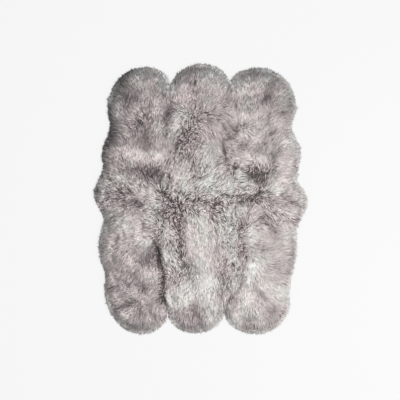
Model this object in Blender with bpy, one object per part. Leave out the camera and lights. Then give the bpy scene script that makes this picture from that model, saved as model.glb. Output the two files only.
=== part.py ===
"""Sheepskin rug of six pelts, lying flat with its wool up.

Six trimmed sheepskins are butted and sewn on the hide side: an upper and a lower row of three, meeting
at a cross seam, each with its rounded neck end pointing away from that seam. Each pelt is one closed
solid, a lumpy slab of wool on its hide with locks standing out at its rim.

Metres, +Z up, +Y towards the upper row. The origin is on the floor under the middle of the rug.
"""

import math
import random
from collections import namedtuple

import bmesh
import bpy
import numpy as np
from mathutils import Vector, noise

# Heights of the wool above the floor
CROWN_HEIGHT = 0.052  # over the middle of a pelt
RIM_HEIGHT = 0.019  # at the slab's outer wall, where the locks root
SEAM_DIP = 0.36  # share of the height lost along a sewn seam

# Distances over which the wool rounds off
RIM_ROUND = 0.075
SEAM_ROUND = 0.034

# Locks at the rim
LOCK_REACH = 0.014  # how far the wool's outline lies outside the slab's wall
LOCK_LENGTHS = (0.008, 0.022)  # shortest and longest, beyond the wall
LOCK_SWEEP = 0.008  # most that a tip leans along the rim
LOCK_TIP_WIDTH = 0.24  # of its root
LOCK_TIP_HEIGHT = 0.30  # of its root
LOCK_CLEARANCE = 0.35  # of the gap to the next pelt that a lock may fill
SHORTEST_LOCK = 0.004  # none is drawn where there is no room for this

# Uneven wool: height and spread of each size of lump
Lump = namedtuple("Lump", "height spread")
LUMPS = (Lump(0.0055, 0.110), Lump(0.0030, 0.048))
LUMP_SHIFT = Vector((3.1, 7.7, 0.4))

SEAM_GAP = 0.0003  # between two sewn pelts
CELLS_ACROSS = 16  # of a pelt's top surface
CELLS_ALONG = 32
SEWN_CELLS = 26  # of those, along a sewn side
CURVE_STEPS = 160  # points on each side before it is spaced evenly
CORNER_STEPS = 6  # tries at finding where two seams cross, each far closer than the last
BELL_FALL = 4.0  # how steeply a dip fades: to a fiftieth at its full width
SHARP_ANGLE = math.radians(50)
LOCK_SEED = 11

WOOL_COLOUR = (0.44, 0.40, 0.39)  # mushroom grey
WOOL_ROUGHNESS = 0.95

# The rug's outer edges and long seams, as x at each y
Station = namedtuple("Station", "y left_edge left_seam right_seam right_edge")
STATIONS = (
    Station(0.760, -0.600, -0.205, 0.200, 0.640),
    Station(0.610, -0.635, -0.200, 0.225, 0.650),
    Station(0.485, -0.620, -0.200, 0.232, 0.620),
    Station(0.320, -0.675, -0.215, 0.212, 0.685),
    Station(0.200, -0.670, -0.222, 0.206, 0.665),
    Station(0.115, -0.705, -0.228, 0.208, 0.660),
    Station(0.035, -0.732, -0.236, 0.215, 0.715),
    Station(-0.035, -0.710, -0.242, 0.222, 0.732),
    Station(-0.130, -0.662, -0.268, 0.232, 0.680),
    Station(-0.200, -0.675, -0.280, 0.240, 0.660),
    Station(-0.310, -0.698, -0.290, 0.246, 0.655),
    Station(-0.400, -0.688, -0.278, 0.236, 0.652),
    Station(-0.510, -0.652, -0.262, 0.215, 0.622),
    Station(-0.620, -0.662, -0.253, 0.188, 0.608),
    Station(-0.785, -0.650, -0.222, 0.160, 0.612),
)

# The cross seam, as y at each x
CrossPoint = namedtuple("CrossPoint", "x y")
CROSS_SEAM = (
    CrossPoint(-0.740, 0.000),
    CrossPoint(-0.430, -0.034),
    CrossPoint(-0.240, -0.030),
    CrossPoint(0.000, -0.028),
    CrossPoint(0.215, 0.005),
    CrossPoint(0.385, 0.010),
    CrossPoint(0.615, -0.005),
    CrossPoint(0.740, -0.028),
)

# A neck end is two quarter ellipses that meet at its tip, each starting at its side's shoulder.
# Shade is how light the pelt took the dye.
Pelt = namedtuple("Pelt", "name row column tip_x tip_y left_shoulder right_shoulder shade")
PELTS = (
    Pelt("pelt_upper_left", 1, 0, -0.390, 0.901, 0.610, 0.725, 0.93),
    Pelt("pelt_upper_middle", 1, 1, 0.010, 0.922, 0.710, 0.725, 0.98),
    Pelt("pelt_upper_right", 1, 2, 0.396, 0.895, 0.758, 0.620, 1.00),
    Pelt("pelt_lower_left", -1, 0, -0.406, -0.922, -0.580, -0.758, 0.99),
    Pelt("pelt_lower_middle", -1, 1, -0.038, -0.915, -0.724, -0.731, 1.06),
    Pelt("pelt_lower_right", -1, 2, 0.379, -0.922, -0.738, -0.690, 1.02),
)
SIDE_NAMES = ("left_edge", "left_seam", "right_seam", "right_edge")

# Partings and hollows in the pile: a bent trough from one end to the other
Trough = namedtuple("Trough", "x0 y0 x1 y1 bow width depth")
TROUGHS = (
    Trough(-0.290, -0.310, -0.222, -0.760, 0.012, 0.030, 0.014),  # open parting on the left long seam
    Trough(-0.250, 0.005, -0.110, -0.015, 0.010, 0.040, 0.012),  # cross seam, left of the middle
    Trough(0.205, 0.022, 0.430, 0.010, 0.006, 0.034, 0.014),  # cross seam, right of the middle
    Trough(-0.110, -0.110, -0.105, -0.330, 0.010, 0.034, 0.009),  # edge of the lower middle saddle
    Trough(-0.225, -0.085, -0.130, -0.125, 0.000, 0.050, 0.012),  # hollow below the cross seam
    Trough(-0.480, 0.205, -0.245, 0.170, -0.010, 0.055, 0.012),  # hollow across the upper left rump
    Trough(0.330, 0.200, 0.450, 0.135, 0.020, 0.060, 0.014),  # hollow in the upper right rump
    Trough(0.285, -0.190, 0.315, -0.440, 0.015, 0.036, 0.010),  # parting beside the right long seam
    Trough(0.150, -0.490, 0.215, -0.720, 0.010, 0.032, 0.011),  # parting at the lower right seam
    Trough(0.235, 0.680, 0.255, 0.460, 0.006, 0.028, 0.009),  # crease in the upper right neck
    Trough(-0.440, 0.545, -0.350, 0.515, 0.000, 0.045, 0.008),  # ruffle in the upper left neck
    Trough(-0.110, 0.380, -0.130, 0.250, 0.020, 0.045, 0.007),  # ruffle in the upper middle
)


def column(rows, name):
    return [getattr(row, name) for row in rows]


def eased(rows, along, across, at):
    """The named column of a table as a smooth curve, level past both ends."""
    knots = np.array(sorted(zip(column(rows, along), column(rows, across))))
    x, y = knots[:, 0], knots[:, 1]
    slope = np.gradient(y, x)
    slope[0] = slope[-1] = 0.0
    at = float(np.clip(at, x[0], x[-1]))
    i = min(int(np.searchsorted(x, at, side="right")) - 1, len(x) - 2)
    h = x[i + 1] - x[i]
    t = (at - x[i]) / h
    rise = y[i + 1] - y[i]
    ease = t * t * (3 - 2 * t)
    return y[i] + ease * rise + h * t * (1 - t) * ((1 - t) * slope[i] - t * slope[i + 1])


def side_x(side, y):
    """x of one of the four long lines at y, an outer edge moved in to the slab's wall."""
    name = SIDE_NAMES[side]
    inward = 1 if side == 0 else -1
    inset = LOCK_REACH if name.endswith("edge") else 0.0
    return eased(STATIONS, "y", name, y) + inward * inset


def pelt_side_x(pelt, right, y):
    """x of the pelt's own side at y. Past the end of its seam a side runs straight on."""
    if is_outer(pelt, right):
        return side_x(pelt.column + right, y)
    end = abs(notch_y(pelt, right))
    gap = SEAM_GAP / 2
    return side_x(pelt.column + right, min(max(y, -end), end)) + (-gap if right else gap)


def is_outer(pelt, right):
    return (pelt.column, right) in ((0, 0), (2, 1))


def cross_y(pelt, x):
    return eased(CROSS_SEAM, "x", "y", x) + pelt.row * SEAM_GAP / 2


def seam_corner(pelt, right):
    """Where one long side of the pelt meets the cross seam."""
    y = 0.0
    for _ in range(CORNER_STEPS):
        x = pelt_side_x(pelt, right, y)
        y = cross_y(pelt, x)
    return Vector((x, y))


def neck_point(pelt, right, angle):
    """A point on the neck's quarter ellipse, from the shoulder (0) to the tip (a quarter turn)."""
    shoulder = pelt.right_shoulder if right else pelt.left_shoulder
    tip_y = pelt.tip_y - pelt.row * LOCK_REACH
    x = pelt.tip_x + (pelt_side_x(pelt, right, shoulder) - pelt.tip_x) * math.cos(angle)
    return Vector((x, shoulder + (tip_y - shoulder) * math.sin(angle)))


def spaced(points, count):
    """The polyline through these points as count points, evenly spaced along it."""
    points = np.array([tuple(p) for p in points])
    run = np.concatenate([[0.0], np.cumsum(np.linalg.norm(np.diff(points, axis=0), axis=1))])
    at = np.linspace(0.0, run[-1], count)
    return np.column_stack([np.interp(at, run, points[:, k]) for k in (0, 1)])


def notch_y(pelt, right):
    """Where the seam on this side ends: the shoulder nearer the cross seam, of the two pelts it joins."""
    shoulders = [pelt.right_shoulder if right else pelt.left_shoulder]
    for other in PELTS:
        if other.row == pelt.row and other.column == pelt.column + (1 if right else -1):
            shoulders.append(other.left_shoulder if right else other.right_shoulder)
    return min(shoulders, key=abs)


def sewn_side(pelt, right):
    """The sewn part of a long side, at the same heights in y on both pelts so that the gap is even."""
    if is_outer(pelt, right):
        return []
    stops = np.linspace(seam_corner(pelt, right).y, notch_y(pelt, right), SEWN_CELLS + 1)
    return [Vector((pelt_side_x(pelt, right, y), y)) for y in stops]


def free_side(pelt, right):
    """The rest of a long side, which ends round its shoulder at the neck's corner."""
    shoulder = pelt.right_shoulder if right else pelt.left_shoulder
    start = seam_corner(pelt, right).y if is_outer(pelt, right) else notch_y(pelt, right)
    stops = np.linspace(start, shoulder, CURVE_STEPS)
    straight = [Vector((pelt_side_x(pelt, right, y), y)) for y in stops]
    arc = [neck_point(pelt, right, a) for a in np.linspace(0, math.pi / 4, CURVE_STEPS // 4)[1:]]
    return straight + arc


def long_side(pelt, right):
    """A long side as the grid's points, from the cross seam to the neck's corner."""
    sewn = [tuple(p) for p in sewn_side(pelt, right)]
    free = spaced(free_side(pelt, right), CELLS_ALONG + 1 - max(len(sewn) - 1, 0))
    return np.array(sewn[:-1] + [tuple(p) for p in free])


def neck_end(pelt):
    """From the neck's left corner over its tip to its right corner."""
    angles = np.linspace(math.pi / 4, math.pi / 2, CURVE_STEPS // 2)
    left = [neck_point(pelt, 0, a) for a in angles]
    right = [neck_point(pelt, 1, a) for a in angles[::-1]]
    return left + right[1:]


def cross_side(pelt):
    left, right = seam_corner(pelt, 0), seam_corner(pelt, 1)
    return [Vector((x, cross_y(pelt, x))) for x in np.linspace(left.x, right.x, CURVE_STEPS)]


def patch(pelt):
    """The pelt's plan as a grid of points, blended from its four sides."""
    bottom = spaced(cross_side(pelt), CELLS_ACROSS + 1)
    top = spaced(neck_end(pelt), CELLS_ACROSS + 1)
    left, right = long_side(pelt, 0), long_side(pelt, 1)
    u = np.linspace(0, 1, CELLS_ACROSS + 1)[None, :, None]
    v = np.linspace(0, 1, CELLS_ALONG + 1)[:, None, None]
    ruled = (1 - v) * bottom[None] + v * top[None] + (1 - u) * left[:, None] + u * right[:, None]
    corners = (1 - v) * ((1 - u) * bottom[0] + u * bottom[-1]) + v * ((1 - u) * top[0] + u * top[-1])
    return ruled - corners


def rug_lines():
    """Points along every outer edge and along every sewn seam of the rug."""
    outer, sewn = [], []
    for pelt in PELTS:
        sewn += cross_side(pelt)
        outer += neck_end(pelt)
        for right in (0, 1):
            outer += free_side(pelt, right)
            sewn += sewn_side(pelt, right)
    return tuple(np.array([tuple(p) for p in line]) for line in (outer, sewn))


def distance(line, x, y):
    return float(np.sqrt(((line - (x, y)) ** 2).sum(1).min()))


def rounded(share):
    """A quarter round: 0 at the edge, 1 once the share of the way in reaches 1."""
    return math.sqrt(1 - (1 - min(max(share, 0.0), 1.0)) ** 2)


def bell(share):
    return math.exp(-BELL_FALL * share * share)


def trough_depth(trough, x, y):
    start, end = Vector((trough.x0, trough.y0)), Vector((trough.x1, trough.y1))
    along = end - start
    t = min(max((Vector((x, y)) - start).dot(along) / along.length_squared, 0.0), 1.0)
    middle = start + along * t + along.orthogonal().normalized() * trough.bow * math.sin(math.pi * t)
    away = (Vector((x, y)) - middle).length
    return trough.depth * bell(away / trough.width)


def wool_height(lines, x, y):
    """Height of the wool's surface over a point of the rug's plan."""
    outer, sewn = (distance(line, x, y) for line in lines)
    crown = rounded(outer / RIM_ROUND)
    height = RIM_HEIGHT + (CROWN_HEIGHT - RIM_HEIGHT) * crown
    height *= 1 - SEAM_DIP * bell(sewn / SEAM_ROUND)
    for lump in LUMPS:
        height += lump.height * crown * noise.noise(Vector((x, y, 0)) / lump.spread + LUMP_SHIFT)
    height -= crown * max(trough_depth(trough, x, y) for trough in TROUGHS)
    return height


def wool_surface(bm, pelt, lines):
    """The slab's top: a grid laid over the pelt's plan and raised to the wool's height."""
    bmesh.ops.create_grid(bm, x_segments=CELLS_ACROSS, y_segments=CELLS_ALONG, size=1.0)
    plan = patch(pelt)
    for vert in bm.verts:
        across = round((vert.co.x + 1) / 2 * CELLS_ACROSS)
        along = round((vert.co.y + 1) / 2 * CELLS_ALONG)
        x, y = plan[along, across]
        vert.co = (x, y, wool_height(lines, x, y))


def close_slab(bm):
    """Walls down to the floor and a flat hide side. Returns the wall faces."""
    rim = [edge for edge in bm.edges if edge.is_boundary]
    made = bmesh.ops.extrude_edge_only(bm, edges=rim)["geom"]
    for item in made:
        if isinstance(item, bmesh.types.BMVert):
            item.co.z = 0.0
    walls = [item for item in made if isinstance(item, bmesh.types.BMFace)]
    floor_edges = [edge for edge in bm.edges if edge.is_boundary]
    bmesh.ops.contextual_create(bm, geom=floor_edges)
    bmesh.ops.recalc_face_normals(bm, faces=bm.faces)
    return walls


def lock_room(face, others):
    """How long a lock on this wall may be before it nears another pelt."""
    middle = face.calc_center_median()
    return LOCK_CLEARANCE * distance(others, middle.x, middle.y)


def draw_lock(face, length, sweep):
    """Pulls an extruded wall face out into a tapered lock whose underside stays on the floor."""
    outward = face.normal.copy()
    outward.z = 0.0
    outward.normalize()
    along = Vector((-outward.y, outward.x, 0.0))
    middle = face.calc_center_median()
    for vert in face.verts:
        offset = (vert.co - middle).dot(along)
        height = vert.co.z * LOCK_TIP_HEIGHT
        vert.co = middle + outward * length + along * (offset * LOCK_TIP_WIDTH + sweep)
        vert.co.z = height


def rim_locks(bm, walls, outer, others, rng):
    """One lock on each wall face of the rug's outer edge that has room for it."""
    free = []
    for face in walls:
        middle = face.calc_center_median()
        if distance(outer, middle.x, middle.y) < SHORTEST_LOCK and lock_room(face, others) > SHORTEST_LOCK:
            free.append(face)
    made = bmesh.ops.extrude_discrete_faces(bm, faces=free)["faces"]
    centre = sum((vert.co for vert in bm.verts), Vector()) / len(bm.verts)
    turns = {}
    for face in made:
        away = face.calc_center_median() - centre
        turns[face] = math.atan2(away.y, away.x)
    for face in sorted(made, key=turns.get):  # always in one order round the pelt
        length = min(rng.uniform(*LOCK_LENGTHS), lock_room(face, others))
        draw_lock(face, length, rng.uniform(-1, 1) * min(LOCK_SWEEP, length / 2))
    return len(made)


def wool_material(pelt):
    colour = [channel * pelt.shade for channel in WOOL_COLOUR] + [1.0]
    material = bpy.data.materials.new(pelt.name + "_wool")
    material.use_nodes = True
    shader = material.node_tree.nodes["Principled BSDF"]
    shader.inputs["Base Color"].default_value = colour
    shader.inputs["Roughness"].default_value = WOOL_ROUGHNESS
    shader.inputs["Metallic"].default_value = 0.0
    material.diffuse_color = colour
    return material


def build_pelt(pelt, lines, others, rng):
    bm = bmesh.new()
    wool_surface(bm, pelt, lines)
    walls = close_slab(bm)
    locks = rim_locks(bm, walls, lines[0], others, rng)
    bmesh.ops.recalc_face_normals(bm, faces=bm.faces)
    mesh = bpy.data.meshes.new(pelt.name)
    bm.to_mesh(mesh)
    bm.free()
    mesh.shade_smooth()
    mesh.set_sharp_from_angle(angle=SHARP_ANGLE)
    mesh.materials.append(wool_material(pelt))
    obj = bpy.data.objects.new(pelt.name, mesh)
    print(pelt.name, len(mesh.polygons), "faces,", locks, "locks")
    return obj


def other_walls(pelt):
    """Points along the walls of every pelt but this one."""
    found = []
    for other in PELTS:
        if other is not pelt:
            found += neck_end(other) + cross_side(other)
            for right in (0, 1):
                found += sewn_side(other, right) + free_side(other, right)
    return np.array([tuple(p) for p in found])


def put_origin_under_middle(objects):
    """Centres the rug's box on the origin and gives each pelt's object its own place."""
    points = [v.co for obj in objects for v in obj.data.vertices]
    middle = Vector([(max(p[k] for p in points) + min(p[k] for p in points)) / 2 for k in (0, 1)] + [0.0])
    for obj in objects:
        own = [v.co for v in obj.data.vertices]
        centre = Vector([(max(p[k] for p in own) + min(p[k] for p in own)) / 2 for k in (0, 1)] + [0.0])
        for vert in obj.data.vertices:
            vert.co -= centre
        obj.location = centre - middle


def clear_scene():
    for obj in list(bpy.data.objects):
        bpy.data.objects.remove(obj, do_unlink=True)


def main():
    clear_scene()
    rug = bpy.data.collections.new("sheepskin_rug")
    bpy.context.scene.collection.children.link(rug)
    frame = bpy.data.objects.new("sheepskin_rug_frame", None)
    rug.objects.link(frame)
    lines = rug_lines()
    rng = random.Random(LOCK_SEED)
    pelts = []
    for pelt in PELTS:
        obj = build_pelt(pelt, lines, other_walls(pelt), rng)
        obj.parent = frame
        rug.objects.link(obj)
        pelts.append(obj)
    put_origin_under_middle(pelts)


main()
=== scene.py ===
# Sheepskin rug of six pelts sewn edge to edge, lying on a pale floor, seen from straight above.
# Each pelt is a suede hide, a dense undercoat on it, and the long combed wool that hides them both.
import math
from collections import namedtuple
from functools import partial

import bmesh
import bpy
import numpy as np
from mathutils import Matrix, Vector, noise
from mathutils.bvhtree import BVHTree
from mathutils.kdtree import KDTree


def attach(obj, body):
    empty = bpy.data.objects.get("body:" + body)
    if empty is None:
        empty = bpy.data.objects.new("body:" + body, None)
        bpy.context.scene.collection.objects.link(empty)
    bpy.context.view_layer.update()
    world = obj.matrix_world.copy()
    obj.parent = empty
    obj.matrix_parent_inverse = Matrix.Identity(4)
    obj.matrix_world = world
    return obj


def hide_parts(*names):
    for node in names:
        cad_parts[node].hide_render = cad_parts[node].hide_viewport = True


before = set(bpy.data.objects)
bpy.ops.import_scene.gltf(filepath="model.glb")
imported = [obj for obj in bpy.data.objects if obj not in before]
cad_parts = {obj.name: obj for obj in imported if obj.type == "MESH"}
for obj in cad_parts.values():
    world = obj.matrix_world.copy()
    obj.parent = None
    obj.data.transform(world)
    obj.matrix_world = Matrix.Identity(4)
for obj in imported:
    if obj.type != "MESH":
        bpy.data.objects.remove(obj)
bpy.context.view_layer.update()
peltNames = sorted(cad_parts)
up = Vector((0, 0, 1))
mm = 0.001
faraway = 9.0  # well outside the rug


# Node helpers

def isSocket(value):
    return isinstance(value, bpy.types.NodeSocket)


def fill(tree, node, inputs):  # sets a node's values and makes its links
    for key, value in inputs.items():
        if isSocket(value):
            tree.links.new(value, node.inputs[key])
        elif value is not None:
            node.inputs[key].default_value = value


def put(tree, kind, inputs=None, **settings):
    node = tree.nodes.new(kind)
    for name, value in settings.items():
        setattr(node, name, value)
    fill(tree, node, inputs or {})
    return node


def treeOf(values):  # the one that the sockets among these belong to
    return next(value.id_data for value in values if isSocket(value))


def calc(operation, *values):  # arithmetic on numbers
    return put(treeOf(values), "ShaderNodeMath", dict(enumerate(values)), operation=operation).outputs[0]


plus, minus, times = (partial(calc, operation) for operation in ("ADD", "SUBTRACT", "MULTIPLY"))
timesPlus = partial(calc, "MULTIPLY_ADD")  # the first two multiplied, and the third added


def steer(operation, first, second=None):  # arithmetic on vectors
    tree = treeOf((first, second))
    return put(tree, "ShaderNodeVectorMath", {0: first, 1: second}, operation=operation).outputs["Vector"]


def scaled(vector, scale):
    inputs = {0: vector, "Scale": scale}
    return put(vector.id_data, "ShaderNodeVectorMath", inputs, operation="SCALE").outputs["Vector"]


def total(first, *others):  # sum of several vectors
    for other in others:
        first = steer("ADD", first, other)
    return first


def joined(tree, **parts):  # a vector from its X, Y and Z
    return put(tree, "ShaderNodeCombineXYZ", parts).outputs[0]


def split(vector):
    return put(vector.id_data, "ShaderNodeSeparateXYZ", {0: vector}).outputs


def rolled(vector, angle):  # turned about the upright
    inputs = {"Vector": vector, "Angle": angle}
    return put(vector.id_data, "ShaderNodeVectorRotate", inputs, rotation_type="Z_AXIS").outputs[0]


def remap(value, fromLow, fromHigh, toLow=0.0, toHigh=1.0):
    inputs = {0: value, 1: fromLow, 2: fromHigh, 3: toLow, 4: toHigh}
    return put(value.id_data, "ShaderNodeMapRange", inputs).outputs[0]


def named(tree, name, kind="FLOAT"):
    return put(tree, "GeometryNodeInputNamedAttribute", {"Name": name}, data_type=kind).outputs["Attribute"]


def keep(geometry, name, value, kind="FLOAT", domain="POINT"):
    inputs = {"Geometry": geometry, "Name": name, "Value": value}
    node = put(geometry.id_data, "GeometryNodeStoreNamedAttribute", inputs, data_type=kind, domain=domain)
    return node.outputs[0]


def newGroup(name, kind, given, made):  # a node group, its input sockets and its output node
    group = bpy.data.node_groups.new(name, kind)
    for direction, sockets in (("INPUT", given), ("OUTPUT", made)):
        for label, socket in sockets.items():
            group.interface.new_socket(name=label, in_out=direction, socket_type="NodeSocket" + socket)
    return group, put(group, "NodeGroupInput").outputs, put(group, "NodeGroupOutput")


def grown(name, mesh, tree, values, scaffold):  # what the tree makes on a mesh, as a plain mesh object
    base = bpy.data.objects.new(name + "_base", mesh)
    bpy.context.scene.collection.objects.link(base)
    modifier = base.modifiers.new("grow", "NODES")
    modifier.node_group = tree
    for item in tree.interface.items_tree:
        if item.in_out == "INPUT" and item.name in values:
            modifier[item.identifier] = values[item.name]
    evaluated = base.evaluated_get(bpy.context.evaluated_depsgraph_get())
    result = bpy.data.meshes.new_from_object(evaluated)
    base.modifiers.remove(modifier)
    bpy.data.objects.remove(base)
    for label in scaffold:
        if label in result.attributes:
            result.attributes.remove(result.attributes[label])
    return placed(name, result)


def placed(name, mesh):
    mesh.name = name
    piece = bpy.data.objects.new(name, mesh)
    bpy.context.scene.collection.objects.link(piece)
    return piece


# The crowns: the top surface of each pelt in the frame

crownForm = {
    "weld": 1e-5,
    "floor": 0.008,  # the pelt's top faces all lie above this, and its rim locks below
    "softening": 2,  # rounds of smoothing after each cut
    "sewnWithin": 0.0025,  # a rim point this near another pelt's rim is on a seam
    "rimStep": 0.004,  # between the points kept along the rims
    "rimSmoothing": 0.022,  # over which the outward direction is averaged
    "levels": 80,  # cuts across a pelt that find its spine
    "narrowest": 0.05,
}


def crownOf(name):
    form = bmesh.new()
    form.from_mesh(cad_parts[name].data)
    bmesh.ops.remove_doubles(form, verts=form.verts, dist=crownForm["weld"])
    low = [f for f in form.faces if min(v.co.z for v in f.verts) < crownForm["floor"]]
    bmesh.ops.delete(form, geom=low, context="FACES")
    refine(form)
    if sum(f.normal.z * f.calc_area() for f in form.faces) < 0:
        bmesh.ops.reverse_faces(form, faces=form.faces)
    return form


def refine(form):  # cuts every edge in two and rounds the inner points
    bmesh.ops.subdivide_edges(form, edges=form.edges, cuts=1, use_grid_fill=True)
    inner = [v for v in form.verts if not v.is_boundary]
    axes = {"use_axis_x": True, "use_axis_y": True, "use_axis_z": True}
    for _ in range(crownForm["softening"]):
        bmesh.ops.smooth_vert(form, verts=inner, factor=0.5, **axes)
    form.verts.ensure_lookup_table()
    form.normal_update()


def planTree(points):  # finds points in plan
    tree = KDTree(len(points))
    for i, point in enumerate(points):
        tree.insert(inPlan(point), i)
    tree.balance()
    return tree


def inPlan(point):
    return Vector((point[0], point[1], 0))


crowns = {name: crownOf(name) for name in peltNames}
rimPoints = [(name, v.co.copy()) for name in peltNames for v in crowns[name].verts if v.is_boundary]
rimTree = planTree([co for _, co in rimPoints])


def isSewn(name, vert):
    near = rimTree.find_range(inPlan(vert.co), crownForm["sewnWithin"])
    return any(rimPoints[i][0] != name for _, i, _ in near)


def edgeIsSewn(name, edge):
    return all(isSewn(name, v) for v in edge.verts)


def freeRim():  # points along the rug's own edge, and the way out from each
    points, ways = [], []
    for name in peltNames:
        for edge in crowns[name].edges:
            if not edge.is_boundary or edgeIsSewn(name, edge):
                continue
            a, b = (v.co.to_2d() for v in edge.verts)
            way = (b - a).orthogonal().normalized()
            if way.dot(edge.link_faces[0].calc_center_median().to_2d() - a) > 0:
                way = -way
            steps = max(1, math.ceil((b - a).length / crownForm["rimStep"]))
            points += [a.lerp(b, k / steps) for k in range(steps)]
            ways += [way] * steps
    tree = planTree(points)
    smooth = []
    for point in points:
        near = tree.find_range(inPlan(point), crownForm["rimSmoothing"])
        smooth.append(sum((ways[i] for _, i, _ in near), Vector((0, 0))).normalized())
    return smooth, tree


rimWays, freeTree = freeRim()
sewnPoints = [v.co for name in peltNames for v in crowns[name].verts if v.is_boundary and isSewn(name, v)]
seamTree = planTree(sewnPoints)


def crownSurface():
    verts, faces = [], []
    for name in peltNames:
        first = len(verts)
        verts += [v.co.copy() for v in crowns[name].verts]
        faces += [[first + v.index for v in f.verts] for f in crowns[name].faces]
    return BVHTree.FromPolygons(verts, faces)


surface = crownSurface()
print("crowns read:", len(rimWays), "points on the free rim,", len(sewnPoints), "on the seams")


# The scalps: where the wool roots, which way it is combed, how high it stands and how pale it is.
# Places in these tables are millimetres in the rug's frame, seen from above.

scalpForm = {
    "share": 0.60,  # of the crown's height
    "inset": 0.006,  # behind the crown's free rim
    "insetOver": 0.060,  # the distance over which the inset fades
    "underside": 0.0034,
    "wallRise": 0.5,  # share of the wool's rise that is left on the outer walls
    "leastRise": 0.002,
}

# The pile: the surface that the tips reach, over the crowns and a little beyond them
pileForm = {
    "fringe": 0.026,  # it falls to the floor over this distance beyond the rim
    "fringeShape": 0.7,
    "middle": 0.020,  # height from which the nearest crown is looked for
    "bridge": 0.040,  # half the width of a groove that the wool closes
    "bridgeSag": 0.003,
    "bridgeWays": 4,
}
bridgeTurns = [math.pi * k / pileForm["bridgeWays"] for k in range(pileForm["bridgeWays"])]
bridges = [(pileForm["bridge"] * math.cos(turn), pileForm["bridge"] * math.sin(turn)) for turn in bridgeTurns]

# A noise is its size in metres, its strength, and its shift from the pelt's own
woolForm = {
    "reach": 0.072,  # from root to tip in plan
    "reachNoise": (0.050, 0.22, 61),
    "stirReach": 0.6,  # share of the reach lost where the wool is stirred
    "leastReach": 0.3,  # share of it left where the strokes cancel out
    "overhang": 0.017,  # of the tips beyond the free rim
    "overhangNoise": (0.022, 0.005, 71),
    "leastOutward": 0.25,  # wool that runs along the rim counts as going out this much
    "lift": 0.002,  # tips above the pile
    "liftNoise": (0.040, 0.0035, 81),
    "brow": 0.007,  # fuller pile behind the free rim
    "browAt": 0.017,
    "sink": 0.012,  # lower pile where a patch opens it
    "swell": 0.007,  # and fuller where a patch is pale
    "swellLimit": 0.6,
    "lowest": 0.001,
    "highest": 0.0675,
    "brush": 0.075,  # reach of a brush stroke
    "fallback": 0.25,  # weight of the plain fan where no stroke reaches
    "settled": 0.6,  # where the strokes agree less than this, the wool stands up instead
    "swirls": ((0.170, 0.25, 0), (0.070, 0.20, 5)),  # noises that turn it, in radians
    "seamWidth": 0.022,  # of the muddled wool along the seams
    "muddle": ((0.065, 17.1), (0.045, 27.3)),  # sizes and shifts of its two noises
    "shagStir": 0.55,  # how far it is stirred where it is shaggy
    "seamStir": 0.50,
    "mostStir": 0.70,
    "edgeWidth": 0.036,  # near the free rim the wool turns outwards
    "edgePull": 1.5,
    "partingPull": 1.5,  # and near a parting, away from it
    "partingReach": 2.2,  # in widths of the parting
    "partingSeenAt": 0.15,  # share of the lean at which a lock hides its own parting
    "seenAt": 0.65,  # and at which it comes to the surface
    "shag": 0.12,  # from smooth wool, 0, to wool that stands in pointed tufts, 1
    "shagNoise": (0.090, 0.14, 91),
    "openShag": 0.5,  # more of it where a dark patch opens the wool
    "openLean": 0.8,  # share of the lean lost there
    "mostOpen": 0.5,
    "tone": 0.622,
    "patches": 0.86,  # strength of the patches of tone, with their painted light and shade
    "clouds": ((0.230, 0.03, 31), (0.085, 0.05, 36), (0.034, 0.05, 41)),  # noises of tone
    "paintedRimLight": 0.15,  # painted light: a paler band along the free rim
    "paintedRimLightAlong": 0.12,  # more at the top, less at the bottom
    "paintedRimLightWidth": 0.045,
    "paintedTopShade": 0.05,  # painted shade: darker line along the rims that face up, away from the key light
    "paintedShadeWidth": 0.008,
    "paintedShadeFade": 0.7,  # of the painted shade line on the left rims, where they turn down
    "tint": 0.27,  # from mauve, 0, to cool grey, 1
    "tintNoise": (0.130, 0.40, 101),
    "toneTint": 0.85,  # paler wool is greyer
    "rimTint": 0.30,  # so is wool at the free rim
    "rimTintAcross": 0.20,  # more on the left, less on the right
    "rimTintWidth": 0.035,
}

woolLook = {
    # from root to tip
    "dark": ((0, (0.028, 0.022, 0.021)), (0.3, (0.049, 0.039, 0.038)), (1, (0.093, 0.077, 0.075))),
    "pale": ((0, (0.110, 0.095, 0.092)), (0.3, (0.430, 0.390, 0.374)), (1, (0.900, 0.880, 0.860))),
    "mauve": (1.0, 0.914, 0.931),
    "silver": (0.956, 0.976, 0.959),
    "silverAt": 0.75,  # on the way from mauve, 0, to cool, 1
    "cool": (0.925, 0.982, 0.992),
    "strands": (260.0, 3.0, 1.0),  # across the whole map, and along it
    "grain": {"Scale": 1.0, "Detail": 2.0, "Dark": 0.84, "Pale": 1.16},
    "bump": {"Strength": 0.25, "Distance": 0.001},
    "finish": {"Roughness": 0.95, "Sheen Weight": 0.15, "Sheen Roughness": 0.5, "Specular IOR Level": 0.2},
}

# Each pelt: the way its wool runs, how far it fans out from the spine, its tone, the painted shade line
# along its rims that face left, away from the key light, and a shift of its noise
Pelt = namedtuple("Pelt", "row fan tone leftLine shift")
peltCombs = {
    "pelt_upper_left": Pelt(1, 0.85, -0.06, 0.58, 11.3),
    "pelt_upper_middle": Pelt(1, 0.50, -0.02, 0.48, 23.9),
    "pelt_upper_right": Pelt(1, 0.85, 0.03, 0.48, 37.1),
    "pelt_lower_left": Pelt(-1, 0.80, -0.02, 0.36, 41.7),
    "pelt_lower_middle": Pelt(-1, 0.55, 0.06, 0.42, 59.2),
    "pelt_lower_right": Pelt(-1, 0.80, 0.03, 0.42, 67.8),
}

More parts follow.
